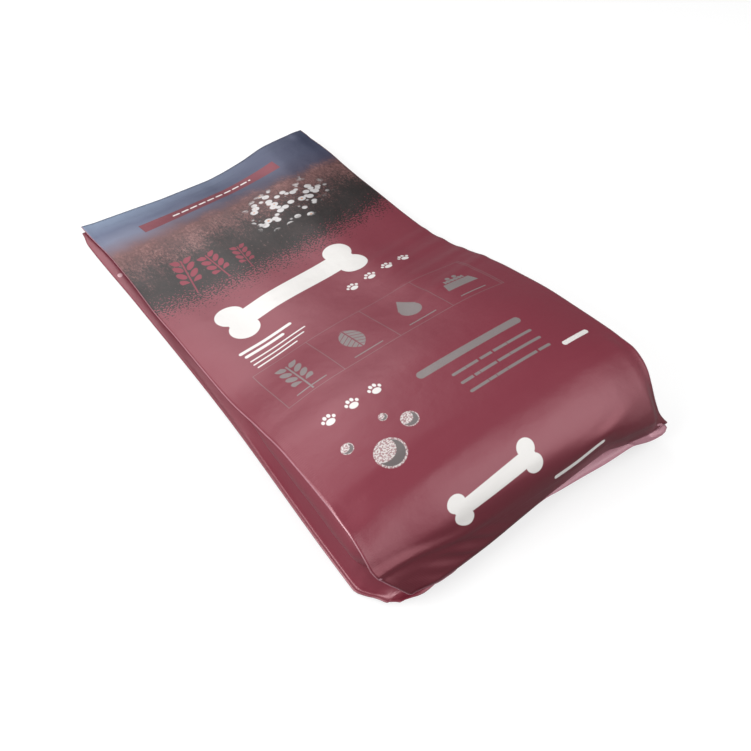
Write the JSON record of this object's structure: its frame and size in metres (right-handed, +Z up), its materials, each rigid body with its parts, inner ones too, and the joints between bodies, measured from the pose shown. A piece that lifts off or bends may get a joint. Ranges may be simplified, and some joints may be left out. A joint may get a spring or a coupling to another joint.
{
  "type": "animal feed bag",
  "caption": "Filled side-gusset film pouch of dry animal feed lying on its back, with pressed edge fins, flat end seals and a thick settled bottom end.",
  "frame": {"origin": "middle of the bag's footprint, on the surface that it lies on", "axes": "+Z up from the back panel to the front panel, +Y from the thick bottom end to the top seal, +X to the right as the front panel is read with the top seal up"},
  "size_m": [0.2458, 0.4638, 0.069],
  "materials": {
    "maroon_film": "satin printed film"
  },
  "bodies": {
    "root": {"feed_bag": "maroon_film"}
  },
  "joints": []
}
